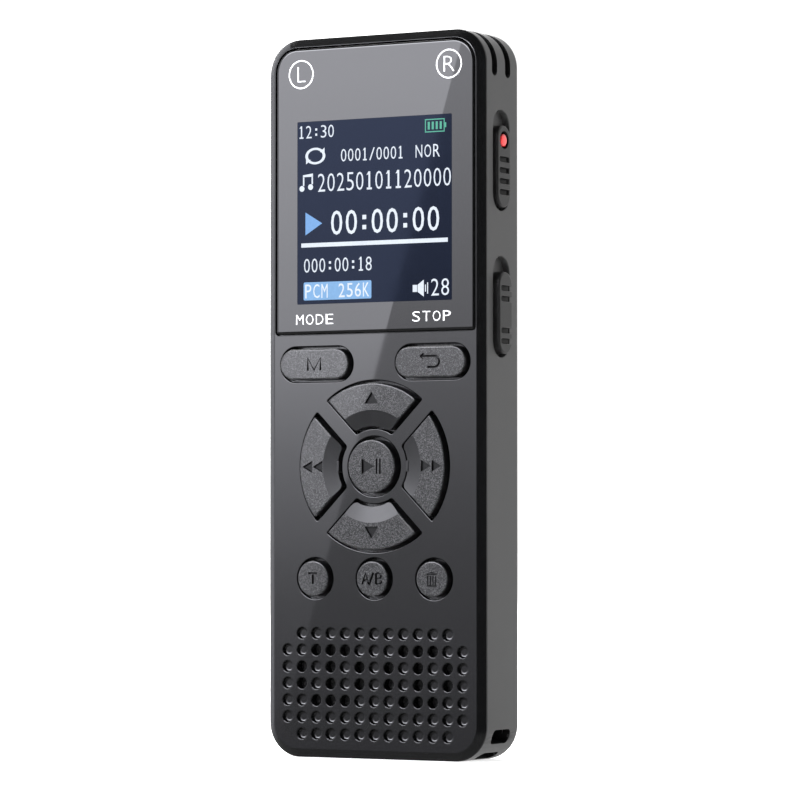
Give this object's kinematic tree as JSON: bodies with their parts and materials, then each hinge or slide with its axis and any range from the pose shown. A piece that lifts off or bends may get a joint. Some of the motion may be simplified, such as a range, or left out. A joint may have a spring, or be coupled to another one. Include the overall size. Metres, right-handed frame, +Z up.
{
  "type": "handheld voice recorder",
  "caption": "Slim handheld voice recorder with a lit display behind a lens, arrow and round keys, side sliders, a speaker grille and two microphones.",
  "frame": {"origin": "centre of the flat bottom end that the recorder stands on", "axes": "+Z up along the case, the display and keys face -Y, the two side sliders are on the +X side"},
  "size_m": [0.0365, 0.0118, 0.1036],
  "materials": {
    "cover_plastic": "fine-grained satin, dark charcoal",
    "shell_plastic": "fine-grained matt, mid grey",
    "key_plastic": "sparkle-textured dark grey",
    "knob_plastic": "fine-grained matt grey",
    "red_mark": "glossy red",
    "lens_clear": "clear polished acrylic with a dark printed border",
    "display_glass": "dark display cell, lit from behind",
    "light_guide": "white light guide",
    "flex_film": "amber polyimide film",
    "board_green": "green solder mask",
    "steel": "stamped and plated",
    "screw_black": "black oxide",
    "aluminium_can": "drawn can",
    "chip_black": "moulded epoxy",
    "switch_housing": "moulded nylon",
    "switch_lever": "natural acetal",
    "rubber": "soft matt",
    "speaker_film": "formed polyester film",
    "foam": "closed-cell foam",
    "grille_cloth": "fine black mesh",
    "battery_foil": "laminated foil pouch",
    "red_wire": "insulation",
    "black_wire": "insulation"
  },
  "bodies": {
    "case": {"front_cover": "cover_plastic", "display_lens": "lens_clear", "rear_shell": "shell_plastic", "display_panel": "display_glass", "display_backlight": "light_guide", "display_flex": "flex_film", "main_board": "board_green", "dome_mode": "steel", "dome_back": "steel", "dome_up": "steel", "dome_down": "steel", "dome_left": "steel", "dome_right": "steel", "dome_play": "steel", "dome_t": "steel", "dome_ab": "steel", "dome_delete": "steel", "record_switch": "switch_housing", "hold_switch": "switch_housing", "speaker_frame": "steel", "speaker_cone": "speaker_film", "speaker_gasket": "foam", "grille_cloth": "grille_cloth", "speaker_lead_red": "red_wire", "speaker_lead_black": "black_wire", "microphone_left": "aluminium_can", "microphone_right": "aluminium_can", "mic_boot_left": "rubber", "mic_boot_right": "rubber", "battery": "battery_foil", "battery_pad": "foam", "battery_lead_red": "red_wire", "battery_lead_black": "black_wire", "usb_socket": "steel", "headphone_jack": "chip_black", "processor_chip": "chip_black", "memory_chip": "chip_black", "clock_crystal": "steel", "case_screw_1": "screw_black", "case_screw_2": "screw_black", "case_screw_3": "screw_black", "case_screw_4": "screw_black"},
    "key_mode": {"key_mode": "key_plastic"},
    "key_back": {"key_back": "key_plastic"},
    "key_up": {"key_up": "key_plastic"},
    "key_down": {"key_down": "key_plastic"},
    "key_left": {"key_left": "key_plastic"},
    "key_right": {"key_right": "key_plastic"},
    "key_play": {"key_play": "key_plastic"},
    "key_t": {"key_t": "key_plastic"},
    "key_ab": {"key_ab": "key_plastic"},
    "key_delete": {"key_delete": "key_plastic"},
    "record_slide_body": {"record_slider": "knob_plastic", "record_mark": "red_mark", "record_lever": "switch_lever"},
    "hold_slide_body": {"hold_slider": "knob_plastic", "hold_lever": "switch_lever"}
  },
  "joints": [
    {"name": "press_mode", "type": "slide", "parent": "case", "child": "key_mode", "axis": [0, 1, 0], "range_m": [0, 0.00035], "stiffness_N_per_m": 1500, "springref_m": -0.0005},
    {"name": "press_back", "type": "slide", "parent": "case", "child": "key_back", "axis": [0, 1, 0], "range_m": [0, 0.00035], "stiffness_N_per_m": 1500, "springref_m": -0.0005},
    {"name": "press_up", "type": "slide", "parent": "case", "child": "key_up", "axis": [0, 1, 0], "range_m": [0, 0.00035], "stiffness_N_per_m": 1500, "springref_m": -0.0005},
    {"name": "press_down", "type": "slide", "parent": "case", "child": "key_down", "axis": [0, 1, 0], "range_m": [0, 0.00035], "stiffness_N_per_m": 1500, "springref_m": -0.0005},
    {"name": "press_left", "type": "slide", "parent": "case", "child": "key_left", "axis": [0, 1, 0], "range_m": [0, 0.00035], "stiffness_N_per_m": 1500, "springref_m": -0.0005},
    {"name": "press_right", "type": "slide", "parent": "case", "child": "key_right", "axis": [0, 1, 0], "range_m": [0, 0.00035], "stiffness_N_per_m": 1500, "springref_m": -0.0005},
    {"name": "press_play", "type": "slide", "parent": "case", "child": "key_play", "axis": [0, 1, 0], "range_m": [0, 0.00035], "stiffness_N_per_m": 1500, "springref_m": -0.0005},
    {"name": "press_t", "type": "slide", "parent": "case", "child": "key_t", "axis": [0, 1, 0], "range_m": [0, 0.00035], "stiffness_N_per_m": 1500, "springref_m": -0.0005},
    {"name": "press_ab", "type": "slide", "parent": "case", "child": "key_ab", "axis": [0, 1, 0], "range_m": [0, 0.00035], "stiffness_N_per_m": 1500, "springref_m": -0.0005},
    {"name": "press_delete", "type": "slide", "parent": "case", "child": "key_delete", "axis": [0, 1, 0], "range_m": [0, 0.00035], "stiffness_N_per_m": 1500, "springref_m": -0.0005},
    {"name": "record_slide", "type": "slide", "parent": "case", "child": "record_slide_body", "axis": [0, 0, 1], "range_m": [0, 0.0018]},
    {"name": "hold_slide", "type": "slide", "parent": "case", "child": "hold_slide_body", "axis": [0, 0, 1], "range_m": [0, 0.0018]}
  ]
}
